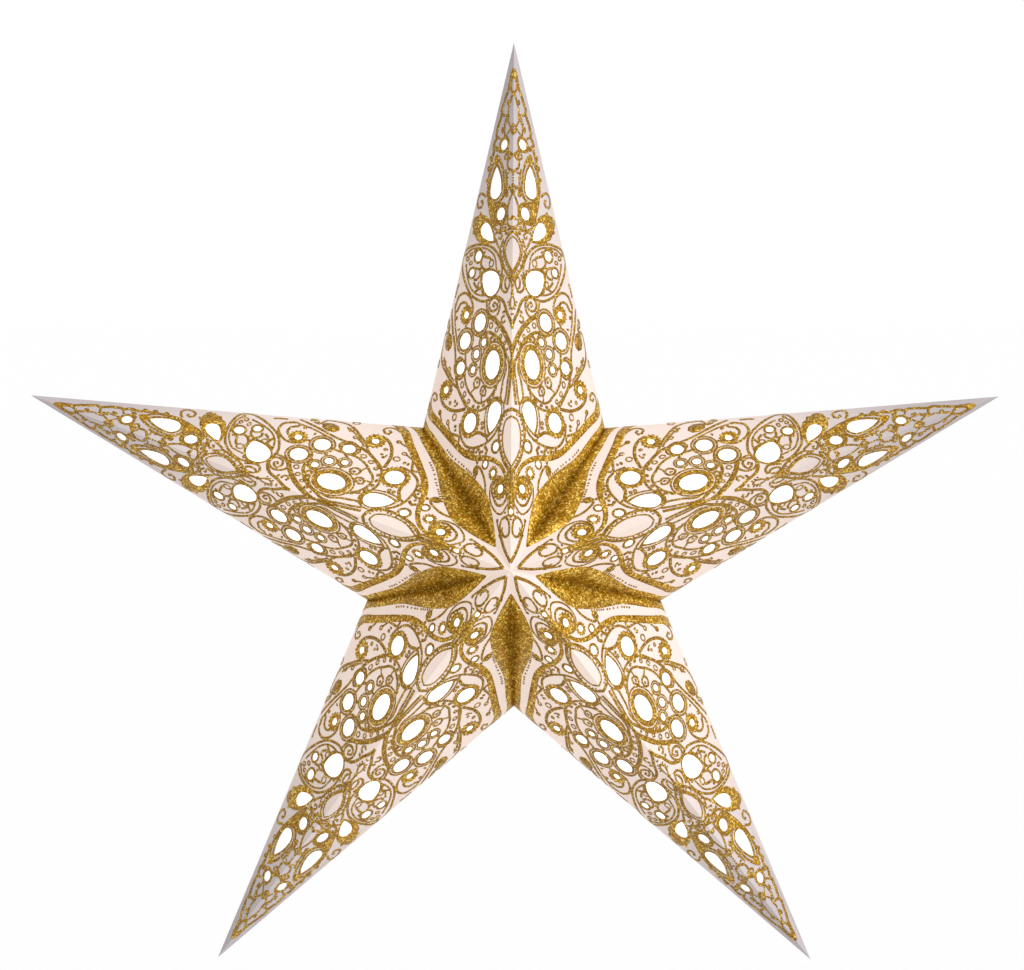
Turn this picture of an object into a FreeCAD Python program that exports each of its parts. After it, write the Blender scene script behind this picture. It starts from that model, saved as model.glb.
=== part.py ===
"""A five-pointed folded paper star lantern, in millimetres.

The star stands in the X-Z plane with one arm straight up along +Z. Its two faces look along -Y
(front) and +Y (back), and the origin is its centre. Each arm is one sheet of card, folded along a
front and a back ridge and bent softly round its two sides, so it is a hollow cone with its point at
the arm's tip. Its inner end is cut in the two planes where it meets its neighbours, and a narrow
glue tab is folded in along that edge. The card has rows of cut-outs. A sheet of translucent paper
lines it from the inside, and fields of glitter are printed on the outside.
"""
import FreeCAD, Part
import math
import os

import Sketcher

ARM_NAMES = ["top", "upper_right", "lower_right", "lower_left", "upper_left"]

DRIVING_SIZES = [
    ("tip_radius", 315.0, "centre of the star to the tip of each arm"),
    ("half_depth", 110.0, "middle plane to the front peak, and to the back peak"),
    ("notch_radius", 95.5, "centre to the notch between two arms"),
    ("side_bend", 43.4, "radius of the soft bend at an arm's side, level with the star's middle"),
    ("card_thickness", 0.5, "folded card"),
    ("liner_thickness", 0.2, "translucent paper inside the card"),
    ("liner_margin", 0.5, "liner edge to the glue tab"),
    ("tab_depth", 8.0, "glue tab, folded inwards where two arms meet"),
    ("print_thickness", 0.15, "glitter on the card"),
    ("print_ring", 2.6, "width of the glitter ring round each large cut-out"),
    ("ridge_hole", 3.6, "round hole in the ridge near the peak"),
    ("cord_slot_start", 18.0, "tip of the top arm to the slot in its back ridge"),
    ("cord_slot_length", 16.0, "slot that the lamp's cord leaves by"),
    ("cord_slot_width", 6.0, "slot that the lamp's cord leaves by"),
]

# Half a face unrolled: the first number is the distance from the tip along the ridge, the second
# is the distance from the ridge across the sheet. The pattern was drawn for this ridge length and
# this width of the flat part of the face, and it is stretched to the face that the sizes give.
PATTERN_RIDGE = 333.65
PATTERN_SLOPE = 0.3304

# The round hole in the ridge, from the tip.
RIDGE_HOLE_ALONG = 297.1

# Round cut-outs: place along and across, and radius.
ROUNDS = [
    (63.8, 8.9, 3.4),
    (107.4, 11.7, 4.0),
    (129.4, 33.3, 3.2),
    (138.6, 39.8, 2.5),
    (164.3, 44.9, 2.3),
    (172.2, 31.3, 5.5),
    (180.7, 45.9, 5.2),
    (185.5, 27.5, 2.3),
    (191.4, 34.7, 2.7),
    (197.0, 50.2, 4.0),
    (200.7, 38.0, 2.2),
    (207.9, 64.3, 2.3),
    (233.8, 40.5, 6.1),
    (253.9, 15.0, 2.8),
    (262.9, 25.1, 2.0),
    (269.9, 17.5, 2.0),
    (281.2, 10.3, 2.7),
]
# Oval cut-outs: place along and across, half length and half width.
OVALS = [
    (201.7, 18.8, 9.0, 7.0),
]
# Drop-shaped cut-outs: the pointed end, the round end and the half width.
DROPS = [
    ((75.7, 16.1), (96.5, 17.1), 5.5),
    ((122.9, 18.8), (110.6, 30.0), 4.4),
    ((141.9, 28.9), (155.4, 14.4), 7.4),
    ((244.0, 21.0), (226.0, 14.0), 6.2),
]
# The round cut-outs and the drops with a printed ring, by their place in the lists.
RINGED_ROUNDS = [5, 6, 12]
RINGED_DROPS = [0, 2]

# Half of the gold leaf in the valley between two arms. The valley cuts its other side.
LEAF_OUTLINE = [(216.0, 92.0), (229.0, 83.5), (240.5, 73.7), (251.3, 61.5), (259.3, 49.6),
                (266.8, 39.1), (275.3, 29.5), (292.0, 19.2), (315.5, 14.0)]
LEAF_BEYOND_VALLEY = [(330.0, 20.0), (260.0, 110.0)]
# The gold band that sweeps from the notch to the ridge: its middle line and half widths.
BAND_LINE = [(214.0, 88.0), (232.9, 74.4), (245.0, 60.5), (253.5, 47.0), (257.5, 35.0),
             (258.8, 26.0), (262.0, 17.0), (267.5, 9.3), (275.0, 5.0)]
BAND_HALF_WIDTH_OUTSIDE = 3.0
BAND_HALF_WIDTH_AT_RIDGE = 1.2

# Smaller holes than this are cut with twelve sides, within 0.1 mm of a circle.
SMALL_HOLE = 3.0
SMALL_HOLE_SIDES = 12

# A cutter starts this far outside the card and ends this far inside it.
CUT_MARGIN = 1.0
HALF_TURN = 180.0 / len(ARM_NAMES)

doc = FreeCAD.newDocument("paper_star")


def fill_sheet(name, rows):
    """Makes a spreadsheet with one aliased cell for each row's value, and its note beside it."""
    sheet = doc.addObject("Spreadsheet::Sheet", name)
    for number, (alias, content, note) in enumerate(rows, start=1):
        sheet.set(f"A{number}", alias)
        sheet.set(f"B{number}", str(content))
        sheet.set(f"C{number}", note)
        sheet.setAlias(f"B{number}", alias)
    return sheet


DERIVED_SIZES = [
    ("half_width",
     f"=Sizes.notch_radius * sin({HALF_TURN}) * Sizes.tip_radius"
     f" / (Sizes.tip_radius - Sizes.notch_radius * cos({HALF_TURN}))",
     "half width of an arm if it went on to the star's middle"),
    ("bend_centre",
     "=half_width - Sizes.side_bend / cos(atan(half_width / Sizes.tip_radius))",
     "arm's middle line to the side bend's own line, level with the star's middle"),
    ("closeness", "=1 / Sizes.tip_radius ^ 2 + 1 / Sizes.half_depth ^ 2 + 1 / bend_centre ^ 2",
     "sum of the inverse squares of the three lengths that set the face's slope"),
    ("bend_share", "=Sizes.side_bend / bend_centre ^ 2", "the bend's part in the face's slope"),
    ("face_distance",
     "=(bend_share + sqrt(bend_share ^ 2"
     " - closeness * (Sizes.side_bend * bend_share - 1))) / closeness",
     "centre of the star to the plane of a face that touches both ridge and bend"),
    ("face_sine", "=face_distance / Sizes.tip_radius",
     "how much a move along the arm counts across the face"),
    ("ridge_length", "=sqrt(Sizes.tip_radius ^ 2 + Sizes.half_depth ^ 2)", "tip to peak"),
    ("card_drop", "=Sizes.card_thickness / face_sine", "outside of the card to its inside"),
    ("liner_drop", "=card_drop + Sizes.liner_thickness / face_sine", "to the liner's inside"),
    ("tab_drop", "=card_drop + Sizes.tab_depth / face_sine", "to the edge of the glue tab"),
    ("print_drop", "=-Sizes.print_thickness / face_sine", "to the outside of the print"),
    ("tab_lift", f"=Sizes.card_thickness / sin({HALF_TURN})", "valley to the tab's inner face"),
    ("liner_lift", f"=(Sizes.card_thickness + Sizes.liner_margin) / sin({HALF_TURN})",
     "valley to the liner's edge"),
]

sizes = fill_sheet("Sizes", DRIVING_SIZES)
derived = fill_sheet("Derived", DERIVED_SIZES)
doc.recompute()


def scripted(name, shape):
    """An object whose shape is worked out here from the sheet's values."""
    result = doc.addObject("Part::Feature", name)
    result.Shape = shape
    return result


class ArmForm:
    """The outside of the upright arm: four flat faces, and a cone round each side."""

    def __init__(self):
        self.tip = FreeCAD.Vector(0, 0, sizes.tip_radius)
        self.peak = FreeCAD.Vector(0, -sizes.half_depth, 0)
        self.bend_centre = FreeCAD.Vector(derived.bend_centre, 0, 0)
        self.outwards = FreeCAD.Vector(
            (derived.face_distance - sizes.side_bend) / derived.bend_centre,
            -derived.face_distance / sizes.half_depth,
            derived.face_sine,
        )
        # The line from the tip on which the face turns into the bend, down to the middle plane.
        slope = self.bend_centre + self.outwards * sizes.side_bend - self.tip
        self.touch = self.tip + slope * (-sizes.tip_radius / slope.z)

    def solid(self):
        """The whole arm as a solid that ends at the star's middle plane."""
        tip = self.tip
        front, back = self.peak, FreeCAD.Vector(0, sizes.half_depth, 0)
        touch_x, touch_y = self.touch.x, self.touch.y
        corners = []
        for x, y in ((touch_x, touch_y), (touch_x, -touch_y), (-touch_x, -touch_y),
                     (-touch_x, touch_y)):
            corners.append(FreeCAD.Vector(x, y, 0))
        faces = [
            Part.Face(Part.makePolygon([tip, front, corners[0], tip])),
            Part.Face(Part.makePolygon([tip, corners[1], back, tip])),
            Part.Face(Part.makePolygon([tip, back, corners[2], tip])),
            Part.Face(Part.makePolygon([tip, corners[3], front, tip])),
            Part.Face(Part.makePolygon([front, *corners[:2], back, *corners[2:], front])),
        ]
        faces += self.bend(corners[0], corners[1])
        faces += self.bend(corners[2], corners[3])
        shell = Part.makeShell(faces)
        shell.sewShape()
        return Part.makeSolid(shell)

    def bend(self, start, end):
        """The cone round one side, and the flat piece that closes it at its wide end."""
        side = math.copysign(self.bend_centre.x, start.x)
        axis = FreeCAD.Vector(side, 0, -sizes.tip_radius).normalize()
        length = (start - self.tip).dot(axis)
        middle = self.tip + axis * length
        first, last = start - middle, end - middle
        if axis.cross(first).dot(last) < 0:
            first, last = last, first
        spread = math.degrees(first.getAngle(last))
        upright = FreeCAD.Vector(0, 0, 1)
        sector = Part.makeCone(0, first.Length, length, FreeCAD.Vector(), upright, spread)
        turn = FreeCAD.Rotation(first.normalize(), FreeCAD.Vector(), axis, "ZXY")
        sector.Placement = FreeCAD.Placement(self.tip, turn)
        cone = next(face for face in sector.Faces if isinstance(face.Surface, Part.Cone))
        arc = next(edge for edge in cone.Edges if isinstance(edge.Curve, Part.Circle))
        chord = Part.makeLine(*[vertex.Point for vertex in arc.Vertexes])
        return [cone, Part.Face(Part.Wire([arc, chord]))]


def arm_cone(name, form, drop=0.0):
    """A solid arm, moved by drop down its own length."""
    cone = form.solid()
    cone.translate(FreeCAD.Vector(0, 0, -drop))
    return scripted(name, cone)


def arm_wedge(name, lift="0"):
    """The arm's share of the star, one fifth of a turn, moved out along the arm by lift."""
    sketch = doc.addObject("Sketcher::SketchObject", name + "_sketch")
    sketch.Placement.Rotation = FreeCAD.Rotation(FreeCAD.Vector(1, 0, 0), 90)
    reach = sizes.tip_radius
    spread = reach * math.tan(math.radians(HALF_TURN))
    corners = [(0, 0), (spread, reach), (-spread, reach)]
    points = [FreeCAD.Vector(x, y, 0) for x, y in corners]
    for number, start in enumerate(points):
        sketch.addGeometry(Part.LineSegment(start, points[(number + 1) % len(points)]))
    sketch.addConstraint([
        Sketcher.Constraint("Coincident", 0, 2, 1, 1),
        Sketcher.Constraint("Coincident", 1, 2, 2, 1),
        Sketcher.Constraint("Coincident", 2, 2, 0, 1),
        Sketcher.Constraint("Coincident", 0, 1, -1, 1),
        Sketcher.Constraint("Horizontal", 1),
        Sketcher.Constraint("Equal", 0, 2),
    ])
    index = sketch.addConstraint(Sketcher.Constraint("DistanceY", -1, 1, 1, 1, reach))
    sketch.renameConstraint(index, "reach")
    sketch.setExpression("Constraints.reach", "Sizes.tip_radius")
    index = sketch.addConstraint(Sketcher.Constraint("DistanceX", -1, 1, 1, 1, spread))
    sketch.renameConstraint(index, "spread")
    sketch.setExpression("Constraints.spread", f"Sizes.tip_radius * tan({HALF_TURN})")
    sketch.setExpression("Placement.Base.z", lift)
    wedge = doc.addObject("Part::Extrusion", name)
    wedge.Base = sketch
    wedge.DirMode = "Normal"
    wedge.Solid = True
    wedge.Symmetric = True
    wedge.setExpression("LengthFwd", "4 * Sizes.half_depth")
    return wedge


def common(name, *shapes):
    """What all the given objects share."""
    result = doc.addObject("Part::MultiCommon", name)
    result.Shapes = list(shapes)
    return result


def cut(name, base, tool):
    """The base object with the tool taken away."""
    result = doc.addObject("Part::Cut", name)
    result.Base = base
    result.Tool = tool
    return result


def compound(name, *shapes):
    """Several objects held together as one tool."""
    result = doc.addObject("Part::Compound", name)
    result.Links = list(shapes)
    return result


def mirrored(name, source, normal):
    """The source mirrored in the plane through the origin with the given normal."""
    result = doc.addObject("Part::Mirroring", name)
    result.Source = source
    result.Normal = normal
    return result


class FrontFace:
    """The flat right half of the front face, unrolled and stretched to the sheet's sizes."""

    def __init__(self, form):
        self.tip = form.tip
        self.outwards = form.outwards
        self.along = (form.peak - form.tip).normalize()
        edge = form.touch - form.tip
        run = edge.dot(self.along)
        rise = edge - self.along * run
        self.across = FreeCAD.Vector(rise).normalize()
        self.along_scale = derived.ridge_length / PATTERN_RIDGE
        self.across_scale = self.along_scale * rise.Length / run / PATTERN_SLOPE

    def place(self, along, across):
        """The point of the outer surface for a place in the pattern."""
        step = self.along * (along * self.along_scale)
        return self.tip + step + self.across * (across * self.across_scale)

    def prism(self, wire):
        """A cutter across the card with the given outline."""
        start = self.outwards * CUT_MARGIN
        profile = Part.Face(wire)
        profile.translate(start)
        return profile.extrude(-start * 2 - self.outwards * sizes.card_thickness)

    def round(self, along, across, radius, grow=0.0):
        """A circle."""
        centre = self.place(along, across)
        scaled = radius * (self.along_scale + self.across_scale) / 2 + grow
        if radius > SMALL_HOLE:
            return Part.Wire([Part.Circle(centre, self.outwards, scaled).toShape()])
        corners = []
        for number in range(SMALL_HOLE_SIDES + 1):
            angle = 2 * math.pi * number / SMALL_HOLE_SIDES
            step = self.along * math.cos(angle) + self.across * math.sin(angle)
            corners.append(centre + step * scaled)
        return Part.makePolygon(corners)

    def oval(self, along, across, half_length, half_width):
        """An oval of four arcs, with its long way along the ridge."""
        centre = self.place(along, across)
        long = half_length * self.along_scale
        wide = half_width * self.across_scale
        end_radius = wide * wide / long
        reach = long - end_radius
        side_radius = (reach ** 2 + wide ** 2 - end_radius ** 2) / (2 * (wide - end_radius))
        lift = side_radius - wide
        lean_out = end_radius / (side_radius - end_radius)
        join_along = reach * (1 + lean_out)
        join_across = lift * lean_out

        def spot(run, rise):
            return centre + self.along * run + self.across * rise

        joins = [spot(join_along, join_across), spot(join_along, -join_across),
                 spot(-join_along, -join_across), spot(-join_along, join_across)]
        middles = [spot(long, 0), spot(0, -wide), spot(-long, 0), spot(0, wide)]
        arcs = [Part.Arc(joins[number], middle, joins[(number + 1) % 4]).toShape()
                for number, middle in enumerate(middles)]
        return Part.Wire(arcs)

    def drop(self, point, round_end, half_width, grow=0.0):
        """A half circle at one end, and two bulging sides that meet in a point at the other."""
        start = self.place(*point)
        end = self.place(*round_end)
        direction = (end - start).normalize()
        width = half_width * self.across_scale + grow
        # The point moves out further than the sides, as the corner of an even border does.
        start = start - direction * grow * 2
        centre = end + direction * (grow - width)
        run = (centre - start).Length
        side_radius = (run * run + width * width) / (2 * width)
        quarter = math.asin(run / side_radius) / 2
        bulge = width - side_radius * (1 - math.cos(quarter))
        behind = side_radius * math.sin(quarter)
        edges = []
        for side in (direction.cross(self.outwards), self.outwards.cross(direction)):
            shoulder = centre + side * width
            middle = centre + side * bulge - direction * behind
            edges.append(Part.Arc(start, middle, shoulder).toShape())
        ends = [centre - side * width, centre + direction * width, centre + side * width]
        edges.insert(1, Part.Arc(*ends).toShape())
        return Part.Wire(edges)

    def arcs(self, points):
        """Arcs through three points each, joined end to end."""
        spots = [self.place(*point) for point in points]
        return [Part.Arc(*spots[number:number + 3]).toShape()
                for number in range(0, len(spots) - 2, 2)]

    def leaf(self, curved, beyond):
        """A field with one curved side, closed through points beyond the card's edge."""
        corners = [self.place(*point) for point in (curved[-1], *beyond, curved[0])]
        return Part.Wire([*self.arcs(curved), *Part.makePolygon(corners).Edges])

    def band(self, line, half_start, half_end):
        """A band that follows a line, with its half width changing evenly from end to end."""
        left = []
        right = []
        for number, (along, across) in enumerate(line):
            before = line[max(number - 1, 0)]
            after = line[min(number + 1, len(line) - 1)]
            run = math.hypot(after[0] - before[0], after[1] - before[1])
            turn = ((before[1] - after[1]) / run, (after[0] - before[0]) / run)
            half = half_start + (half_end - half_start) * number / (len(line) - 1)
            left.append((along + turn[0] * half, across + turn[1] * half))
            right.append((along - turn[0] * half, across - turn[1] * half))
        first_end = Part.makeLine(self.place(*left[0]), self.place(*right[0]))
        last_end = Part.makeLine(self.place(*left[-1]), self.place(*right[-1]))
        edges = [*self.arcs(left), last_end, *self.arcs(right), first_end]
        return Part.Wire(Part.sortEdges(edges)[0])


def cutout_prisms(face):
    """Cutters for the openings of one half face."""
    wires = [face.round(*hole) for hole in ROUNDS]
    wires += [face.oval(*oval) for oval in OVALS]
    wires += [face.drop(*drop) for drop in DROPS]
    return Part.makeCompound([face.prism(wire) for wire in wires])


def print_prisms(face):
    """Cutters for the printed fields of one half face."""
    ring = sizes.print_ring
    prisms = [
        face.prism(face.leaf(LEAF_OUTLINE, LEAF_BEYOND_VALLEY)),
        face.prism(face.band(BAND_LINE, BAND_HALF_WIDTH_OUTSIDE, BAND_HALF_WIDTH_AT_RIDGE)),
    ]
    for number in RINGED_ROUNDS:
        outer = face.prism(face.round(*ROUNDS[number], grow=ring))
        prisms.append(outer.cut(face.prism(face.round(*ROUNDS[number]))))
    for number in RINGED_DROPS:
        outer = face.prism(face.drop(*DROPS[number], grow=ring))
        prisms.append(outer.cut(face.prism(face.drop(*DROPS[number]))))
    return Part.makeCompound(prisms)


def on_four_half_faces(name, quarter):
    """The quarter and its mirror images on the left half and on the back."""
    left = mirrored(name + "_left", quarter, FreeCAD.Vector(1, 0, 0))
    front = compound(name + "_front", quarter, left)
    back = mirrored(name + "_back", front, FreeCAD.Vector(0, 1, 0))
    return compound(name + "_all", front, back)


def ridge_hole_cylinder():
    """A cutter for the round hole through the front and the back ridge near the peaks."""
    hole = doc.addObject("Part::Cylinder", "ridge_hole")
    hole.setExpression("Radius", "Sizes.ridge_hole / 2")
    hole.setExpression("Height", "2 * Sizes.half_depth")
    hole.Placement.Rotation = FreeCAD.Rotation(FreeCAD.Vector(1, 0, 0), -90)
    hole.setExpression("Placement.Base.y", "-Sizes.half_depth")
    hole.setExpression("Placement.Base.z",
                       f"Sizes.tip_radius * (1 - {RIDGE_HOLE_ALONG} / {PATTERN_RIDGE})")
    return hole


def cord_slot_box():
    """A cutter for the cord's slot in the back ridge of the top arm."""
    slot = doc.addObject("Part::Box", "cord_slot")
    slot.setExpression("Length", "Sizes.cord_slot_width")
    slot.setExpression("Width", "Sizes.half_depth")
    slot.setExpression("Height", "Sizes.cord_slot_length")
    slot.setExpression("Placement.Base.x", "-Sizes.cord_slot_width / 2")
    slot.setExpression("Placement.Base.z",
                       "Sizes.tip_radius - Sizes.cord_slot_start - Sizes.cord_slot_length")
    return slot


def one_solid(shape):
    """The only solid of a shape."""
    assert len(shape.Solids) == 1, f"{len(shape.Solids)} solids instead of one"
    return shape.Solids[0]


def piece(label, shape, turn):
    """A sub-part: the shape made for the upright arm, turned about the star's middle."""
    result = scripted(label, shape)
    axis = FreeCAD.Vector(0, 1, 0)
    result.Placement = FreeCAD.Placement(FreeCAD.Vector(), FreeCAD.Rotation(axis, turn))
    result.Label = label
    return result


def check(objects):
    """Stops if an object failed to build or its shape isn't valid."""
    for item in objects:
        if "Invalid" in item.State or "Error" in item.State:
            raise RuntimeError(f"{item.Label} failed to build")
        if hasattr(item, "Shape") and (item.Shape.isNull() or not item.Shape.isValid()):
            raise RuntimeError(f"{item.Label} has no valid shape")


form = ArmForm()
outside = arm_cone("outside", form)
card_inside = arm_cone("card_inside", form, derived.card_drop)
liner_inside = arm_cone("liner_inside", form, derived.liner_drop)
tab_edge = arm_cone("tab_edge", form, derived.tab_drop)
print_outside = arm_cone("print_outside", form, derived.print_drop)
share = arm_wedge("share")
share_inside_tabs = arm_wedge("share_inside_tabs", "Derived.tab_lift")
share_of_liner = arm_wedge("share_of_liner", "Derived.liner_lift")

front_face = FrontFace(form)
cutouts = on_four_half_faces("cutouts", scripted("cutouts", cutout_prisms(front_face)))
fields = on_four_half_faces("fields", scripted("fields", print_prisms(front_face)))
slot = cord_slot_box()

hollow = common("hollow", card_inside, share_inside_tabs)
block = common("block", outside, share)
shell = cut("shell", cut("shell_with_core", block, hollow), tab_edge)
card = cut("card", cut("card_uncut", shell, cutouts), ridge_hole_cylinder())
liner = cut("liner", common("liner_block", card_inside, share_of_liner), liner_inside)
glitter = common("glitter", cut("glitter_skin", common("glitter_block", print_outside, share),
                                outside), fields)
card_with_slot = cut("card_with_slot", card, slot)
liner_with_slot = cut("liner_with_slot", liner, slot)
doc.recompute()
check(doc.Objects)

pieces = []
for number, arm_name in enumerate(ARM_NAMES):
    turn = 2 * HALF_TURN * number
    is_top = number == 0
    arm_card = one_solid((card_with_slot if is_top else card).Shape)
    arm_liner = one_solid((liner_with_slot if is_top else liner).Shape)
    pieces.append(piece(arm_name + "_arm_card", arm_card, turn))
    pieces.append(piece(arm_name + "_arm_liner", arm_liner, turn))
    pieces.append(piece(arm_name + "_arm_glitter_print", glitter.Shape, turn))
doc.recompute()
check(pieces)

os.makedirs("parts", exist_ok=True)
for item in pieces:
    item.Shape.exportStep(os.path.join("parts", item.Label + ".step"))
    print(item.Label, len(item.Shape.Solids), "solids", round(item.Shape.Volume), "mm3")
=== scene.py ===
"""A lit paper star lantern: folded card with cut-outs, a liner with a painted glow and a gold glitter
print.

The frame gives the folded card and its liner. This script dresses them and draws the print anew.
The print is drawn once, in millimetres on half a face of an arm unrolled flat: the first number is
the distance from the arm's tip along its ridge, the second is the distance from the ridge. It is
then laid on the four half faces of each of the five arms, as a thin closed skin.
"""
import math

import bpy
import numpy as np
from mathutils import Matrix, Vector
from mathutils.geometry import delaunay_2d_cdt


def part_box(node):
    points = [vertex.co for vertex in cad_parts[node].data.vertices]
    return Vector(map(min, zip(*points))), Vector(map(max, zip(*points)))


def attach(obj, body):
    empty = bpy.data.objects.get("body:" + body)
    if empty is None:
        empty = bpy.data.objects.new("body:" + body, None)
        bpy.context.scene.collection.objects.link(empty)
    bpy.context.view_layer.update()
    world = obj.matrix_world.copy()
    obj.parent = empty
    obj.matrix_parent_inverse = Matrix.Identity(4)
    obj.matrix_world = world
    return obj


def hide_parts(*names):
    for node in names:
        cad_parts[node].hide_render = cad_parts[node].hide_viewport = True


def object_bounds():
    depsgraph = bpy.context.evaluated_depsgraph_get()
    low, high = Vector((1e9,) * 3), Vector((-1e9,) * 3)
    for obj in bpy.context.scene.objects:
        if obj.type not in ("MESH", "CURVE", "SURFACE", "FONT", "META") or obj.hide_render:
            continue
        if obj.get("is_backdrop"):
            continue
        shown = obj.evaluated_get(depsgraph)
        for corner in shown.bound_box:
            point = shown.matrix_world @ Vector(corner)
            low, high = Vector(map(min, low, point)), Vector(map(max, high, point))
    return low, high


ARM_NAMES = ["top", "upper_right", "lower_right", "lower_left", "upper_left"]
HALF_TURN = math.pi / len(ARM_NAMES)
# Metres in a millimetre.
MILLIMETRE = 0.001

# The view, in millimetres and degrees.
VIEW_AZIMUTH = 1.1
VIEW_ELEVATION = 4.9
VIEW_DISTANCE = 3000.0
VIEW_AIM = (-1.2, 0.0, 42.0)
VIEW_LENS = 170.2
VIEW_REACH = 100000.0
SENSOR_WIDTH = 36.0

FLOOR_HEIGHT = -900.0
FLOOR_SIZE = 40000.0
FLOOR_COLOUR = (0.97, 0.97, 0.97, 1)

# Light: an even studio, and one soft lamp from above on the front right.
STUDIO_STRENGTH = 0.68
LAMP_STRENGTH = 1.95
LAMP_DIRECTION = (-0.62, 0.57, -0.54)
LAMP_SPREAD = 40.0

# Paper: colours, painted glows that stand in for a lamp inside the star, and fibres in millimetres.
CARD_COLOUR = (0.46, 0.41, 0.415, 1)
# Painted glow of the card: emission in place of the light of a lamp inside the star.
CARD_PAINTED_GLOW = (1.0, 0.77, 0.58, 1)
FIBRE_SIZE = 2.5
FIBRE_DEPTH = 0.12
LINER_COLOUR = (0.9, 0.88, 0.86, 1)
# Painted glow of the liner: emission in place of the light of a lamp behind it.
LINER_PAINTED_GLOW = (1.0, 0.93, 0.91, 1)

# Gold: shares of the grains with their colours, and the size of the grains in millimetres. The gold's
# own colour is spread grain by grain from painted shade on the darkest grains to painted glints on the
# brightest, as flakes that miss or catch the light.
GOLD_LINES = [
    (0.0, (0.14, 0.060, 0.003)),
    (0.4, (0.28, 0.133, 0.005)),
    (0.87, (0.44, 0.235, 0.010)),
    (0.95, (0.80, 0.60, 0.15)),
]
GOLD_GLITTER = [
    (0.0, (0.13, 0.078, 0.003)),
    (0.3, (0.34, 0.155, 0.004)),
    (0.75, (0.50, 0.25, 0.006)),
    (0.94, (0.90, 0.66, 0.15)),
]
LINE_GRAIN = 0.7
GLITTER_GRAIN = 0.9

# The arm's own sizes that the frame doesn't show directly, in millimetres.
NOTCH_RADIUS = 95.5
SIDE_BEND = 43.4

# The print's thickness, and the gap that keeps the prints of two arms apart in a valley.
PRINT_THICKNESS = 0.15
VALLEY_GAP = 0.08
# What lies beyond the flat of the face is spread this much more widely over the bend.
BEND_SPREAD = 1.2

# Widths of the print's lines and small rings, and the size and spacing of its beads.
FINE_WIDTH = 1.25
LINE_WIDTH = 1.7
THICK_WIDTH = 2.2
RING_WIDTH = 1.1
BEAD_RADIUS = 0.8
BEAD_SPACING = 2.1

# How finely shapes are divided: lengths in millimetres, and numbers of corners and steps.
CURVE_STEP = 2.1
BEND_STRIPS = 7
VALLEY_CORNERS = 12
DROP_FLANK_STEPS = 7
DROP_CAP_STEPS = 12
OPENING_CORNERS = 18
GLITTER_RING_CORNERS = 24
SMALL_RING_CORNERS = 10
DOT_CORNERS = 8
BEAD_CORNERS = 6
HALVINGS = 40
# Cuts along the bend run between these distances from the tip, past both ends of the print.
CUT_ENDS = (10.0, 320.0)
# Corners nearer than this are joined, and the joined net fills the hull of all the corners.
JOINING_DISTANCE = 0.0005
FILL_THE_HULL = 0
# A shape is left out when its area is under its longest side times this.
SLIVER_WIDTH = 0.02
# The least length that a step is divided by.
TINY = 1e-6

# What a shape on the sheet stands for.
LINE_KIND = 0
GLITTER_KIND = 1
OPENING_KIND = 2
SHEET_KIND = 3

# The slot for the cord in the top arm's back ridge, where the print stops too.
CORD_SLOT = [(19.0, 0.0), (36.0, 0.0), (36.0, 4.8), (19.0, 4.8)]
# Round openings in the card: place, half length along the ridge and half width.
ROUND_OPENINGS = [
    (63.8, 8.9, 3.4, 3.4), (107.4, 11.7, 4.0, 4.0), (129.4, 33.3, 3.2, 3.2),
    (138.6, 39.8, 2.5, 2.5), (164.3, 44.9, 2.3, 2.3), (172.2, 31.3, 5.5, 5.5),
    (180.7, 45.9, 5.2, 5.2), (185.5, 27.5, 2.3, 2.3), (191.4, 34.7, 2.7, 2.7),
    (197.0, 50.2, 4.0, 4.0), (200.7, 38.0, 2.2, 2.2), (201.7, 18.8, 9.0, 7.0),
    (207.9, 64.3, 2.3, 2.3), (233.8, 40.5, 6.1, 6.1), (253.9, 15.0, 2.8, 2.8),
    (262.9, 25.1, 2.0, 2.0), (269.9, 17.5, 2.0, 2.0), (281.2, 10.3, 2.7, 2.7),
    (297.1, 0.0, 1.8, 1.8),
]
# Openings with a point: the pointed end, the round end and the half width.
DROP_OPENINGS = [
    ((75.7, 16.1), (96.5, 17.1), 5.5),
    ((122.9, 18.8), (110.6, 30.0), 4.4),
    ((141.9, 28.9), (155.4, 14.4), 7.4),
    ((244.0, 21.0), (226.0, 14.0), 6.2),
]
# Rings round the round openings: the opening's number, and pairs of inner gap and width.
ROUND_BORDERS = {
    0: [(0.0, 1.8)], 1: [(0.0, 1.7)], 2: [(0.0, 1.7)], 3: [(0.0, 1.6)],
    5: [(0.0, 1.7), (2.2, 1.3)], 6: [(0.0, 1.7), (2.2, 1.3)], 7: [(0.0, 1.2), (1.7, 1.1)],
    8: [(0.0, 1.2), (1.7, 1.1)], 9: [(0.0, 1.7)], 10: [(0.0, 1.2), (1.6, 1.1)],
    11: [(0.0, 1.4), (4.7, 1.3)], 13: [(0.0, 1.3)], 14: [(0.0, 1.8)], 15: [(0.0, 1.5)],
    17: [(0.0, 1.2)], 18: [(0.0, 1.2)],
}
# Rings round the openings with a point, the same way.
DROP_BORDERS = {
    0: [(0.0, 1.5), (2.5, 1.1)], 1: [(0.0, 1.2)], 2: [(0.0, 1.4)], 3: [(0.0, 1.2), (2.2, 1.1)],
}
# Rings of loose glitter round the round openings: the opening's number, and the inner gap, the
# width and the number of bumps along the outer edge.
GLITTER_BORDERS = {
    4: (0.0, 3.3, 14), 11: (1.5, 2.4, 0), 12: (0.0, 3.6, 14), 13: (1.2, 1.9, 20),
    16: (0.0, 1.8, 12), 17: (1.2, 2.4, 14),
}

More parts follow.
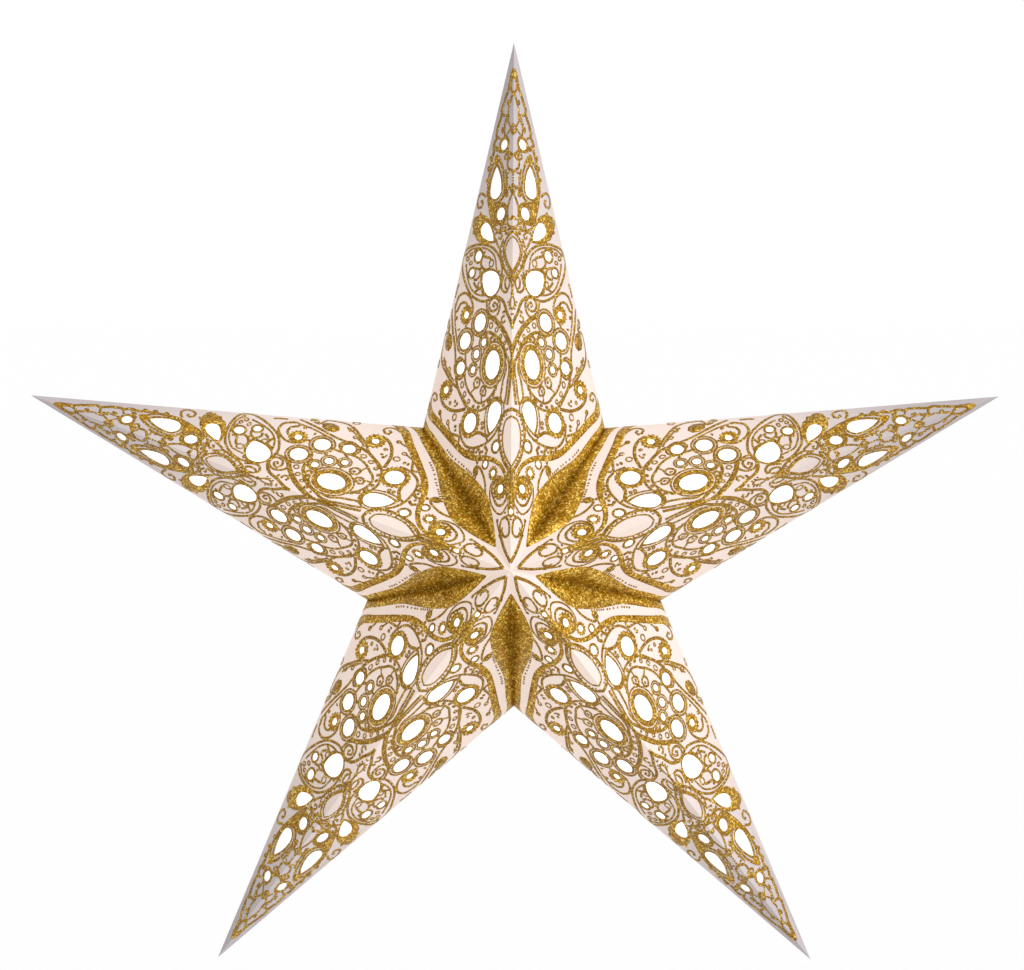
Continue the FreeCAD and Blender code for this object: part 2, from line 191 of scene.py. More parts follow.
# The solid leaf in the valley: its curved side, and points beyond the valley that close it.
VALLEY_LEAF = [(215.5, 92.0), (226.0, 83.7), (236.0, 74.5), (245.0, 66.5), (252.5, 59.0),
               (259.5, 49.3), (266.8, 39.0), (275.3, 29.5), (282.5, 23.0), (292.0, 19.2),
               (303.4, 16.1), (315.5, 14.0)]
BEYOND_VALLEY = [(330.0, 20.0), (260.0, 110.0)]
# The band from the notch to the ridge: its middle line, and its width at each end.
SWEEPING_BAND = [(209.0, 89.0), (220.5, 79.5), (229.0, 70.5), (242.0, 57.0), (252.0, 45.5),
                 (257.0, 35.0), (258.8, 26.0), (262.0, 17.0), (267.5, 9.3), (275.0, 5.0),
                 (285.0, 2.6), (300.0, 2.0)]
BAND_WIDTHS = (6.0, 1.8)

# Open lines: fine ones, usual ones and thick ones.
FINE_LINES = [
    [(35, 1.5), (39, 3.5), (42.5, 5), (46.5, 4.5), (49.5, 5), (53, 3), (56.5, 1.5), (59.5, 0)],
    [(51, 8.5), (58, 8.5), (60, 9)],
    [(52.5, 0), (54, 2), (56.5, 4.5), (58, 7), (59.5, 8.5)],
    [(57, 15.5), (59, 13), (60.5, 11)],
    [(83, 3), (83, 5.5), (84.5, 6.5), (86, 5.5), (86, 4.5)],
    [(124.5, 0), (125.5, 3), (128, 5.5), (131.5, 7), (136, 6.5), (140.5, 4.5), (147, 0)],
    [(125.5, 45.5), (123.5, 40.5), (124, 33.5), (126, 26.5), (129.5, 21), (134, 17), (142.5, 15.5)],
    [(131.5, 45.5), (136.5, 45), (142.5, 43.5), (148.5, 40.5), (153, 35.5), (155.5, 29), (156, 24.5)],
    [(149.5, 2), (153.5, 0.8), (159.5, 0)],
    [(161.5, 0), (164, 1.5), (167.5, 2)],
    [(154.5, 56), (161, 56), (168, 56), (175, 55), (180.5, 54)],
    [(162, 0), (164.5, 2), (167, 2.5), (171, 0)],
    [(179, 40), (178, 37)],
    [(187.5, 40), (186.5, 38)],
    [(186.5, 67), (192.5, 65), (198.5, 61.5), (204, 56.5)],
    [(163, 65.5), (166.5, 65.5), (170, 62)],
    [(197, 61.5), (200.5, 59.5)],
    [(196, 36), (198, 36.5)],
    [(201, 35.5), (200.5, 31)],
    [(215.5, 41), (213.5, 37.5), (213, 35.5)],
    [(223.5, 29.5), (220.5, 29.5), (219, 29)],
    [(223, 70), (226.5, 69), (229.5, 69.5)],
    [(231, 62), (233.5, 61), (236, 60)],
    [(238, 0), (239, 5), (243, 7.5), (249, 8.5), (255.5, 8), (262, 5.5), (269.5, 0)],
    [(290.5, 2), (294.5, 5.5), (297, 9.5), (295.5, 13.5), (291.5, 17.5), (286.5, 20), (281.5, 20.5),
     (277, 19.5), (274.5, 16.5), (273, 12.5), (274.5, 8), (276.5, 5)],
    [(305.5, 8), (308, 8.5), (310.5, 7)],
    [(302, 13), (305, 12), (309, 10.5)],
]
LINES = [
    [(21.5, 0), (24, 2), (27, 3), (29.5, 2.5), (31.5, 1.5), (32.5, 0)],
    [(33.5, 0), (34, 1.5), (36, 2.5), (39, 4)],
    [(43.5, 11.5), (45, 8.5), (46, 5)],
    [(59, 6.5), (62, 4.5), (65, 4.5), (67.5, 5.5), (69.5, 4), (71, 2), (73, 0)],
    [(67, 14), (68, 10), (68.5, 6.5), (70.5, 3), (72.5, 1.5), (74, 3), (74, 6), (72, 8.5),
     (70.5, 7.5), (70.5, 5.5), (71.5, 4), (72.5, 5.5)],
    [(72, 0), (73, 2), (74, 4.5), (77, 5.5), (79.5, 5), (81.5, 2.5), (83, 0)],
    [(70, 14.5), (73, 12.5), (77, 10.5), (81, 9.5), (84.5, 9), (88, 8.5), (92, 8), (96.5, 9)],
    [(80, 7.5), (83.5, 6.5), (87.5, 6), (91.5, 6), (96, 7)],
    [(90, 24.5), (95, 23), (98.5, 19.5), (99.5, 14.5), (98, 10.5), (95, 8), (91.5, 6.5)],
    [(112, 19.5), (113, 14.5), (114.5, 10), (114.5, 5.5)],
    [(96.5, 0), (99.5, 2.5), (103.5, 4.5), (108, 5.5), (112.5, 4.5), (114.5, 5.5), (117, 4), (119, 0)],
    [(91.5, 3), (94, 5.5), (97.5, 6.5)],
    [(93, 26.5), (90.5, 29), (89.5, 31.5), (91.5, 34.5), (95, 35), (98.5, 33.5), (98.5, 31),
     (96.5, 29.5), (94.5, 30), (95, 31.5)],
    [(119, 17), (118.5, 14.5), (120, 11.5), (122, 10), (123.5, 11.5), (122.5, 13.5), (121.5, 13)],
    [(122.5, 16.5), (126, 15), (129.5, 12.5), (127, 10.5), (124, 9)],
    [(129.5, 12.5), (133.5, 11.5), (138.5, 10), (143, 8), (147.5, 5), (150, 0)],
    [(112.5, 19.5), (116.5, 16.5), (118, 11.5), (119.5, 6.5)],
    [(119.5, 0), (119, 4), (120, 6.5), (121.5, 7), (121.5, 3.5), (121.5, 0)],
    [(121.5, 0), (123, 4), (126, 7), (129.5, 8.5), (134, 8.5), (139, 6.5), (144, 3.5), (149, 0)],
    [(127, 51), (123, 48), (121.5, 40), (122, 32.5), (124.5, 24.5), (128, 18.5), (133, 14),
     (138.5, 11), (143.5, 10), (147.5, 10.5), (151, 10)],
    [(123.5, 49), (128, 51), (134, 49.5), (140.5, 47.5), (146, 45), (152, 41), (156.5, 35),
     (159.5, 28), (159.5, 21.5)],
    [(144.5, 14.5), (147.5, 11), (151, 10.5), (155, 13), (157, 17), (157.5, 20.5), (156, 25)],
    [(128.5, 30.5), (131, 27.5), (132.5, 23.5), (134, 21)],
    [(131, 29.5), (134.5, 31), (137.5, 29.5), (140, 25.5), (139.5, 21.5)],
    [(137.5, 29.5), (138, 32.5), (136.5, 35.5), (137, 37.5)],
    [(138, 32.5), (141.5, 31.5), (144, 35), (143, 38)],
    [(140, 25.5), (142, 25), (143.5, 16.5)],
    [(145, 38), (148, 36), (149.5, 34)],
    [(152, 37.5), (150.5, 33.5), (151, 30), (154, 29), (156, 26)],
    [(147, 8), (151, 10), (155.5, 10.5), (158.5, 7), (158.5, 4)],
    [(158, 56.5), (153, 54), (150, 51), (150, 46), (153, 42), (157, 39.5), (160.5, 38.5), (164, 39),
     (168, 41.5), (171, 45.5), (173, 45.5)],
    [(160, 54), (156, 51), (155.5, 48), (157, 45), (160, 43.5)],
    [(142.5, 53), (145.5, 55), (148, 56), (150.5, 57)],
    [(157, 60.5), (165, 59), (173, 58), (180, 56.5), (187, 55.5), (192, 55.5)],
    [(160, 25), (164.5, 24.5), (168.5, 22.5), (172, 17.5), (170, 13.5), (166, 12), (162.5, 13),
     (159.5, 16.5), (160, 20.5), (162.5, 22.5), (166.5, 21.5), (168, 17.5), (166.5, 14), (164, 15),
     (162.5, 17.5), (164, 19), (165.5, 17)],
    [(171, 9.5), (170.5, 6), (174, 4), (177.5, 2), (182, 0)],
    [(173, 7), (174, 10), (176, 10.5), (177.5, 8.5), (176.5, 6.5)],
    [(172, 17.5), (177, 12), (182.5, 7), (188, 3.5), (194.5, 0)],
    [(178.5, 35), (181, 31.5), (182.5, 29.5)],
    [(181.5, 26.5), (184, 23.5), (186.5, 23), (188.5, 25)],
    [(186.5, 45.5), (192.5, 45.5), (197, 45), (200.5, 42)],
    [(201, 46), (206.5, 45.5), (213, 42.5), (217.5, 38.5), (221.5, 35), (223.5, 30.5), (223, 25),
     (220.5, 19.5), (216.5, 15.5), (213, 12.5)],
    [(200.5, 7), (207, 5.5), (214, 8.5), (218.5, 9.5), (223, 10.5), (228.5, 10)],
    [(202.5, 3), (209, 2.5), (215.5, 4), (222, 5), (229.5, 7)],
    [(166, 62.5), (170.5, 62), (171.5, 69), (176, 70.5), (181.5, 71), (188.5, 69.5), (195.5, 65.5),
     (202.5, 60.5), (209.5, 53)],
    [(210.5, 77.5), (212.5, 76), (212, 73.5), (209.5, 73.5), (207.5, 75.5), (208, 79), (211.5, 81),
     (216.5, 79.5), (222, 76.5), (228, 72), (233.5, 65.5), (237.5, 57.5), (240, 51.5),
     (242.5, 51), (245, 52.5)],
    [(232, 50.5), (237, 50.5), (242.5, 48.5), (247.5, 44.5), (250, 38.5), (250.5, 31.5),
     (249.5, 23.5), (246.5, 17), (242, 13)],
    [(209.5, 53), (217, 48.5), (222, 45), (225.5, 39), (228, 30.5), (226.5, 22.5), (223.5, 17.5)],
    [(262.5, 34.5), (263.5, 31), (268.5, 27.5), (275.5, 25), (283, 25)],
    [(271.5, 3), (274.5, 3), (281, 2.5), (287.5, 2), (292.5, 1.5)],
]
THICK_LINES = [
    [(17, 0), (19, 1.5), (21, 2.5), (23.5, 3), (26, 4), (28.5, 4.5), (31.5, 6.5), (34, 8), (36.5, 9),
     (38, 10), (41, 11.5), (43, 11), (47, 13), (49.5, 14.5), (52.5, 15.5), (55, 16.5), (57, 15.5),
     (59.5, 18), (62, 19), (66, 19), (69, 20.5), (72, 21.5), (75.5, 22), (79, 23), (83, 24),
     (87, 24.5), (91, 24.5), (95, 24), (98.5, 23.5), (104, 22), (109, 20.5), (112.5, 18)],
    [(158.5, 22), (159.5, 15.5), (163, 9.5), (168, 6.5), (172, 5), (177.5, 1.5), (183, 0)],
    [(170, 24), (173, 18.5), (177.5, 13.5), (182.5, 9), (188, 5.5), (193, 2.5), (199, 0)],
    [(180, 27), (180.5, 22), (184, 16), (188.5, 11), (193, 8), (197.5, 6), (202.5, 3)],
    [(187.5, 20.5), (185, 21), (183.5, 18.5), (185, 15), (188, 12.5), (191, 11)],
    [(202, 55), (208.5, 53), (215, 49.5), (220.5, 45), (222.5, 43)],
    [(202.5, 0.6), (210.5, 0.8), (219.5, 2), (230, 4)],
    [(209, 70), (213.5, 69), (218, 65.5), (221.5, 60), (223.5, 53.5), (224, 45)],
    [(241, 45.5), (242, 40.5), (241.5, 35.5), (242, 30.5), (245, 25.5), (245.5, 22)],
    [(224.5, 20), (223.5, 15), (226, 10)],
    [(248.5, 47), (252.5, 46.5)],
    [(249.5, 41), (254, 42)],
    [(250.5, 36.5), (255.5, 37)],
    [(251, 33), (254, 30.5), (257, 31)],
    [(251.5, 26), (254.5, 23.5), (257, 25)],
    [(233.5, 0), (234, 6), (237, 9.5), (242, 11.5), (249, 12), (256.5, 10.5), (264, 7.5), (270, 3),
     (273, 0)],
    [(269.5, 0.4), (280, 0.4), (292.5, 0.4)],
    [(309, 11), (312.5, 9), (318.5, 6.5), (323.5, 3.5), (328.5, 0)],
]
# Closed lines.
LOOPS = [
    [(52.5, 0), (53.5, 2), (55, 2.5), (57, 2), (59, 0)],
    [(91, 0), (92, 1.5), (93.5, 2.5), (95.5, 1.5), (96.5, 0)],
    [(102.5, 16.5), (101, 13.5), (101.5, 9), (105.5, 5.5), (110, 5.5), (113, 8.5), (113, 13.5),
     (110, 17.5), (106, 18.5)],
    [(149, 5), (151.5, 7), (155.5, 6.5), (157.5, 4.5), (155.5, 3), (152, 2.5)],
    [(190, 51), (192.5, 55), (196, 56.5), (201.5, 54.5), (204, 51), (202.5, 47.5), (199, 45.5),
     (194.5, 46.5)],
    [(213, 35.5), (209.5, 37), (206.5, 34), (209, 31), (212, 31.5)],
    [(219, 29), (216, 30.5), (213, 28), (217, 25), (219.5, 26)],
    [(291.5, 11), (291.5, 8.5), (289.5, 5.5), (286, 4), (280, 4.2), (276.5, 7.5), (274.8, 11),
     (275, 14.5), (277.5, 17.5), (281.5, 18.5), (286, 16.5), (290, 14)],
    [(299.5, 6), (300.5, 8.5), (304, 10.5), (308, 9.5), (311, 7), (312, 4), (310, 1.5), (305.5, 1.5),
     (302, 2.5)],
]
# Patches of loose glitter.
GLITTER_PATCHES = [
    [(16.5, 0), (18, 1.5), (20, 2.5), (21.5, 1.5), (21.5, 0)],
    [(68, 15.5), (70, 18), (73.5, 18.5), (76, 16.5), (74.5, 14), (72.5, 13)],
    [(98.5, 23.5), (99, 20), (100.5, 16), (102.5, 17.5), (106, 18.5), (109, 19.5), (106, 21.5)],
    [(111, 0), (111.5, 2.5), (113.5, 3.5), (113.5, 0)],
    [(101, 32), (103, 33), (103.5, 37), (105.5, 39.5), (108.5, 40), (111, 38.5), (113.5, 39.5),
     (115, 37), (118, 36), (120.5, 32.5), (123, 28), (124, 22.5), (124.5, 17.5), (123, 16),
     (119, 17.5), (114.5, 19.5), (110.5, 21), (107.5, 23.5), (105, 26.5), (103.5, 30)],
]
# Rows of beads.
BEAD_ROWS = [
    [(123.5, 5), (126.5, 8.5), (130, 10.5), (133.5, 10.5), (138, 9), (143, 6.5), (147, 3.5)],
    [(161.5, 6.5), (165.5, 4), (170, 2.5), (175, 0)],
    [(236, 0), (236.5, 7), (241, 9.5), (247.5, 10), (255, 9), (262.5, 6.5), (270.5, 2)],
    [(244.0, 65.0), (251.5, 57.6), (258.4, 48.2), (262.2, 43.4), (266.2, 38.4), (270.5, 33.5)],
]
# Small rings: place, half length and half width.
SMALL_RINGS = [
    (48.5, 7, 1.7, 1.5), (116, 11, 1.5, 1.8), (128.5, 44, 1.8, 1.9), (126.5, 40.5, 1.5, 2),
    (125.5, 36, 1.2, 2.4), (132, 41, 1.5, 2.2), (125.5, 46, 1.3, 1.9), (137, 20.5, 2.9, 2.7),
    (148, 32, 2.5, 2.3), (144, 13.5, 1.3, 1.7), (128.5, 28, 1.2, 1.6), (176.5, 20.5, 2.3, 2.2),
    (180.5, 15, 2, 2), (185.5, 11, 1.8, 1.7), (190.5, 7, 1.6, 1.5), (195, 4.5, 1, 1),
    (208, 48.5, 2.5, 2), (214.5, 46, 2.2, 1.8), (220, 42, 1.8, 1.6), (219.5, 17.5, 1.4, 1.6),
    (190, 66.5, 2.1, 2.2), (195.5, 61.5, 1.9, 1.7), (188.5, 75.5, 2.8, 2.8), (217, 60.5, 1.6, 1.4),
    (229, 62.5, 2, 1.7), (227, 56, 2.6, 2.5), (233, 55, 1.1, 1.5), (235.5, 55, 0.9, 1.3),
    (236.5, 28.5, 1.4, 1.7), (239.5, 28.5, 1.3, 1.6), (224, 37.5, 1.2, 1.6), (225.5, 32.5, 1.1, 1.6),
    (225.5, 27.5, 1.1, 1.6), (224, 22.5, 1.3, 1.6), (221, 18, 1.3, 1.5), (217.5, 15.5, 1.3, 1.3),
    (245.5, 53, 3, 1.9), (251, 44, 1.3, 1.3), (252.5, 39, 1.1, 1.2), (253.5, 34, 1, 1.2),
    (254.5, 28, 1, 1.2), (260, 33, 1.6, 1.2), (300.5, 13, 1.4, 1.1),
]
# Small filled dots and buds, the same way.
DOTS = [
    (33, 0, 1.2, 1.5), (37.5, 5, 1.9, 1.2), (43, 11.5, 1, 1.1), (46, 5, 0.7, 1),
    (56.5, 16.5, 0.8, 1), (62.5, 19, 0.9, 1), (50.5, 8, 1, 1.8), (54, 10.5, 2.2, 1.2),
    (65, 15, 1.7, 2.6), (63, 17, 0.8, 1.1), (83.5, 0, 0.9, 1.5), (82.5, 1.5, 0.6, 1.1),
    (85.2, 0, 0.6, 1), (87, 0, 0.6, 1), (88.8, 0, 0.6, 0.9), (90.5, 0, 0.5, 0.8),
    (69.5, 22, 1.9, 1.1), (75.5, 24, 1.9, 1.2), (82.5, 25.5, 1.6, 1.3), (86, 7.5, 0.8, 1.4),
    (96.5, 6, 1.8, 1.9), (113.5, 15.5, 0.8, 3.1), (117.5, 7.5, 1.2, 1.8), (115, 6.5, 1, 1.4),
    (150, 0, 1, 1.3), (152, 0, 0.8, 1.1), (153, 1.5, 1, 0.9), (160.5, 0, 1.2, 1.7),
    (160, 55, 1, 1.1), (164, 54.5, 1.4, 1.2), (164, 65, 2, 2.9), (172, 52.5, 0.8, 1.4),
    (186.5, 17, 1.5, 1.6), (189.5, 22, 1.1, 1.4), (209.5, 33.5, 1.2, 1), (216.5, 28, 1.4, 0.9),
    (223, 21, 0.6, 1), (202.5, 0, 1.5, 1.6), (200, 0, 1.1, 1.6), (197, 0, 1.1, 1.4),
    (194, 0, 1, 1.2), (177.5, 62.5, 6.1, 4), (217, 55.5, 1.2, 1), (219, 53.5, 1.2, 1.2),
    (220, 55.5, 0.6, 1.5), (221, 70.5, 2, 1.7), (242, 31.5, 0.9, 2.1), (237.5, 26.5, 0.9, 1.1),
    (265.5, 34.5, 3.5, 2.8), (292.5, 3.5, 0.7, 1.1), (294, 5.2, 0.7, 1.1), (296.8, 5.6, 0.7, 1.1),
    (299.2, 3.8, 0.7, 1.1), (294, 0, 0.7, 1.2), (300.3, 0, 0.7, 1.2), (302, 0, 0.6, 1.1),
]


class ArmSurface:
    """The outside of the upright arm's front right half: a flat face that turns into a cone."""

    def __init__(self, tip_radius, half_depth):
        self.tip = np.array([0.0, 0.0, tip_radius])
        peak = np.array([0.0, -half_depth, 0.0])
        spread = NOTCH_RADIUS * math.sin(HALF_TURN)
        half_width = spread * tip_radius / (tip_radius - NOTCH_RADIUS * math.cos(HALF_TURN))
        # The bend is part of a cone with its point at the tip. The cone touches a ball on the
        # X axis, which also touches the arm's straight side in the middle plane.
        centre = half_width - SIDE_BEND / math.cos(math.atan(half_width / tip_radius))
        # The flat face passes through the tip and the peak, and touches the same ball. Its normal
        # has the length 1, which gives the face's distance from the middle of the star.
        closeness = 1 / tip_radius ** 2 + 1 / half_depth ** 2 + 1 / centre ** 2
        share = SIDE_BEND / centre ** 2
        root = math.sqrt(share ** 2 - closeness * (SIDE_BEND * share - 1))
        distance = (share + root) / closeness
        self.outwards = np.array([(distance - SIDE_BEND) / centre, -distance / half_depth,
                                  distance / tip_radius])
        edge = np.array([centre, 0.0, 0.0]) + self.outwards * SIDE_BEND - self.tip
        self.edge = edge / np.linalg.norm(edge)
        self.along = (peak - self.tip) / np.linalg.norm(peak - self.tip)
        across = self.edge - self.along * self.edge.dot(self.along)
        self.across = across / np.linalg.norm(across)
        self.flat_angle = math.acos(self.edge.dot(self.along))
        axis = np.array([-centre, 0.0, tip_radius])
        self.axis = axis / np.linalg.norm(axis)
        self.cone_sine = SIDE_BEND / np.linalg.norm(axis)
        self.side_angle = self.angle_of_side()

    def turned(self, vector, turn):
        """The vector turned round the bend's axis, away from the flat face."""
        along_axis = self.axis * self.axis.dot(vector)
        sideways = np.cross(self.axis, vector)
        turn = turn.reshape(-1, 1)
        return along_axis + (vector - along_axis) * np.cos(turn) + sideways * np.sin(turn)

    def directions(self, angles):
        """Unit steps away from the tip, and the outward normals, for angles on the sheet."""
        steps = np.outer(np.cos(angles), self.along) + np.outer(np.sin(angles), self.across)
        normals = np.tile(self.outwards, (len(angles), 1))
        bent = angles > self.flat_angle
        turn = (angles[bent] - self.flat_angle) / self.cone_sine
        steps[bent] = self.turned(self.edge, turn)
        normals[bent] = self.turned(self.outwards, turn)
        return steps, normals

    def angle_of_side(self):
        """The sheet's angle at which the bend reaches the middle plane."""
        low, high = self.flat_angle, 2 * self.flat_angle
        for _ in range(HALVINGS):
            middle = (low + high) / 2
            if self.directions(np.array([middle]))[0][0][1] < 0:
                low = middle
            else:
                high = middle
        return low

    def place(self, flat, lift):
        """Points in space for points on the sheet, lifted off the card."""
        angles = np.arctan2(flat[:, 1], flat[:, 0])
        steps, normals = self.directions(angles)
        reach = np.hypot(flat[:, 0], flat[:, 1]).reshape(-1, 1)
        return self.tip + steps * reach + normals * lift

    def outline(self):
        """The sheet's outline: the tip, then the valley from the peak to the notch."""
        angles = np.linspace(0, self.side_angle, VALLEY_CORNERS)
        steps, _ = self.directions(angles)
        sine, cosine = math.sin(HALF_TURN), math.cos(HALF_TURN)
        reach = (self.tip[2] * sine - VALLEY_GAP) / (steps[:, 0] * cosine - steps[:, 2] * sine)
        valley = [(distance * math.cos(angle), distance * math.sin(angle))
                  for distance, angle in zip(reach, angles)]
        return [(0.0, 0.0)] + valley


def smooth(points, closed=False):
    """Points on a soft curve through the given points."""
    if len(points) < 3:
        return [np.array(point, float) for point in points]
    knots = [np.array(point, float) for point in points]
    count = len(knots)
    result = []
    for number in range(count if closed else count - 1):
        if closed:
            before, start, end, after = [knots[(number + step) % count] for step in (-1, 0, 1, 2)]
        else:
            before, start = knots[max(number - 1, 0)], knots[number]
            end, after = knots[number + 1], knots[min(number + 2, count - 1)]
        pieces = max(1, round(np.linalg.norm(end - start) / CURVE_STEP))
        for piece in range(pieces):
            share = piece / pieces
            result.append(0.5 * (2 * start + (end - before) * share
                                 + (2 * before - 5 * start + 4 * end - after) * share ** 2
                                 + (3 * start - before - 3 * end + after) * share ** 3))
    if not closed:
        result.append(knots[-1])
    return result


def grown(oval, gap):
    """The oval with its half sizes larger by the gap."""
    along, across, half_length, half_width = oval
    return along, across, half_length + gap, half_width + gap


def ellipse(along, across, half_length, half_width, corners):
    """Corners of an oval."""
    turns = [2 * math.pi * number / corners for number in range(corners)]
    return [(along + half_length * math.cos(turn), across + half_width * math.sin(turn))
            for turn in turns]


def drop(point, round_end, half_width, grow=0.0):
    """Corners of a drop: a half circle at one end, and two bulging sides that meet in a point."""
    start, end = np.array(point), np.array(round_end)
    direction = (end - start) / np.linalg.norm(end - start)
    side = np.array([-direction[1], direction[0]])
    width = half_width + grow
    start = start - direction * grow * 2
    centre = end + direction * (grow - width)
    run = np.linalg.norm(centre - start)
    side_radius = (run * run + width * width) / (2 * width)
    whole = math.asin(run / side_radius)
    flank = []
    for number in range(1, DROP_FLANK_STEPS + 1):
        turn = whole * (1 - number / DROP_FLANK_STEPS)
        behind = side_radius * math.sin(turn)
        bulge = width - side_radius * (1 - math.cos(turn))
        flank.append((behind, bulge))
    cap = [math.pi / 2 - math.pi * number / DROP_CAP_STEPS
           for number in range(1, DROP_CAP_STEPS)]
    corners = [start]
    corners += [centre - direction * behind + side * bulge for behind, bulge in flank]
    corners += [centre + (direction * math.cos(turn) + side * math.sin(turn)) * width
                for turn in cap]
    corners += [centre - direction * behind - side * bulge for behind, bulge in reversed(flank)]
    return corners


class Drawing:
    """Overlapping shapes on the sheet, which are joined into one net of triangles."""

    def __init__(self, surface):
        self.surface = surface
        self.points = []
        self.shapes = []
        self.kinds = []
        self.cuts = []

    def corner(self, point):
        """Adds a point and gives its number."""
        self.points.append(Vector((float(point[0]), float(point[1]))))
        return len(self.points) - 1

    def spread_corner(self, point):
        """A corner of the print, moved further along the bend if it lies on the bend."""
        reach = math.hypot(point[0], point[1])
        angle = math.atan2(point[1], point[0])
        beyond = max(angle - self.surface.flat_angle, 0.0)
        angle += beyond * (BEND_SPREAD - 1)
        return self.corner((reach * math.cos(angle), reach * math.sin(angle)))

    def shape(self, numbers, kind):
        """Adds a shape, with its corners put in the counterclockwise order."""
        area = 0.0
        longest = 0.0
        for number, corner in enumerate(numbers):
            here, there = self.points[corner], self.points[numbers[(number + 1) % len(numbers)]]
            area += (here.x * there.y - here.y * there.x) / 2
            longest = max(longest, (there - here).length)
        if abs(area) < longest * SLIVER_WIDTH:
            return
        self.shapes.append(numbers if area > 0 else numbers[::-1])
        self.kinds.append(kind)

    def polygon(self, corners, kind):
        """Adds a filled shape."""
        self.shape([self.spread_corner(corner) for corner in corners], kind)

    def strip(self, left, right, closed, kind):
        """A chain of triangles between two rows of points."""
        first = [self.spread_corner(point) for point in left]
        second = [self.spread_corner(point) for point in right]
        count = len(left)
        for number in range(count if closed else count - 1):
            after = (number + 1) % count
            self.shape([first[number], first[after], second[after]], kind)
            self.shape([first[number], second[after], second[number]], kind)

    def line(self, points, width, closed=False, kind=LINE_KIND, end_width=None):
        """A line of a given width, or one that narrows evenly to another width."""
        middle = smooth(points, closed)
        count = len(middle)
        end_width = width if end_width is None else end_width
        left, right = [], []
        for number, point in enumerate(middle):
            before = middle[number - 1] if number or closed else point
            after = middle[(number + 1) % count] if closed or number < count - 1 else point
            direction = (after - before) / max(np.linalg.norm(after - before), TINY)
            half = (width + (end_width - width) * number / max(count - 1, 1)) / 2
            side = np.array([-direction[1], direction[0]]) * half
            left.append(point + side)
            right.append(point - side)
        self.strip(left, right, closed, kind)

    def ring(self, oval, gap, width, corners, kind=LINE_KIND):
        """A ring round an oval, with a gap between them."""
        inner = ellipse(*grown(oval, gap), corners)
        outer = ellipse(*grown(oval, gap + width), corners)
        self.strip(inner, outer, True, kind)

    def bead(self, place):
        """Adds one bead."""
        self.polygon(ellipse(*place, BEAD_RADIUS, BEAD_RADIUS, BEAD_CORNERS), LINE_KIND)

    def holds(self, shape, place):
        """Whether a place lies within the reach of a shape's corners."""
        corners = [self.points[corner] for corner in self.shapes[shape]]
        along = [corner.x for corner in corners]
        across = [corner.y for corner in corners]
        return min(along) < place.x < max(along) and min(across) < place.y < max(across)

    def net(self):
        """The flat triangles of the print, each with its kind."""
        surface = self.surface
        self.shape([self.corner(corner) for corner in surface.outline()], SHEET_KIND)
        for number in range(BEND_STRIPS + 1):
            share = number / BEND_STRIPS
            angle = surface.flat_angle + (surface.side_angle - surface.flat_angle) * share
            ends = [self.corner((reach * math.cos(angle), reach * math.sin(angle)))
                    for reach in CUT_ENDS]
            self.cuts.append(ends)
        corners, _, triangles, _, _, origins = delaunay_2d_cdt(
            self.points, self.cuts, self.shapes, FILL_THE_HULL, JOINING_DISTANCE, True)
        kept, kinds = [], []
        for triangle, shapes in zip(triangles, origins):
            # A triangle can be credited to a shape that lies elsewhere, so its place is tested.
            middle = (corners[triangle[0]] + corners[triangle[1]] + corners[triangle[2]]) / 3
            found = {self.kinds[shape] for shape in shapes if self.holds(shape, middle)}
            printed = found & {LINE_KIND, GLITTER_KIND}
            if SHEET_KIND in found and OPENING_KIND not in found and printed:
                kept.append(triangle)
                kinds.append(max(printed))
        used = sorted({corner for triangle in kept for corner in triangle})
        renumbered = {corner: number for number, corner in enumerate(used)}
        flat = np.array([corners[corner] for corner in used])
        net = np.array([[renumbered[corner] for corner in triangle] for triangle in kept])
        return flat, net, np.array(kinds)


def draw_openings(drawing, extra_openings):
    """The cut-outs, where there is no print."""
    for opening in ROUND_OPENINGS:
        drawing.polygon(ellipse(*opening, OPENING_CORNERS), OPENING_KIND)
    for opening in DROP_OPENINGS:
        drawing.polygon(drop(*opening), OPENING_KIND)
    for opening in extra_openings:
        drawing.polygon(opening, OPENING_KIND)


def draw_borders(drawing):
    """The rings round the openings, and the bumps on some of them."""
    for number, borders in ROUND_BORDERS.items():
        for gap, width in borders:
            drawing.ring(ROUND_OPENINGS[number], gap, width, OPENING_CORNERS)
    for number, (gap, width, bumps) in GLITTER_BORDERS.items():
        opening = ROUND_OPENINGS[number]
        drawing.ring(opening, gap, width, GLITTER_RING_CORNERS, GLITTER_KIND)
        for bump in ellipse(*grown(opening, gap + width), bumps):
            drawing.bead(bump)
    for number, borders in DROP_BORDERS.items():
        for gap, width in borders:
            inner = drop(*DROP_OPENINGS[number], grow=gap)
            outer = drop(*DROP_OPENINGS[number], grow=gap + width)
            drawing.strip(inner, outer, True, LINE_KIND)


def draw_glitter(drawing):
    """The fields of glitter: the leaf in the valley, the sweeping band and the patches."""
    drawing.polygon(smooth(VALLEY_LEAF) + BEYOND_VALLEY, GLITTER_KIND)
    drawing.line(SWEEPING_BAND, BAND_WIDTHS[0], kind=GLITTER_KIND, end_width=BAND_WIDTHS[1])
    for patch in GLITTER_PATCHES:
        drawing.polygon(smooth(patch, closed=True), GLITTER_KIND)


def draw_lines(drawing):
    """The scrolls, stems and loops."""
    for width, lines in ((FINE_WIDTH, FINE_LINES), (LINE_WIDTH, LINES), (THICK_WIDTH, THICK_LINES)):
        for line in lines:
            drawing.line(line, width)
    for loop in LOOPS:
        drawing.line(loop, LINE_WIDTH, closed=True)


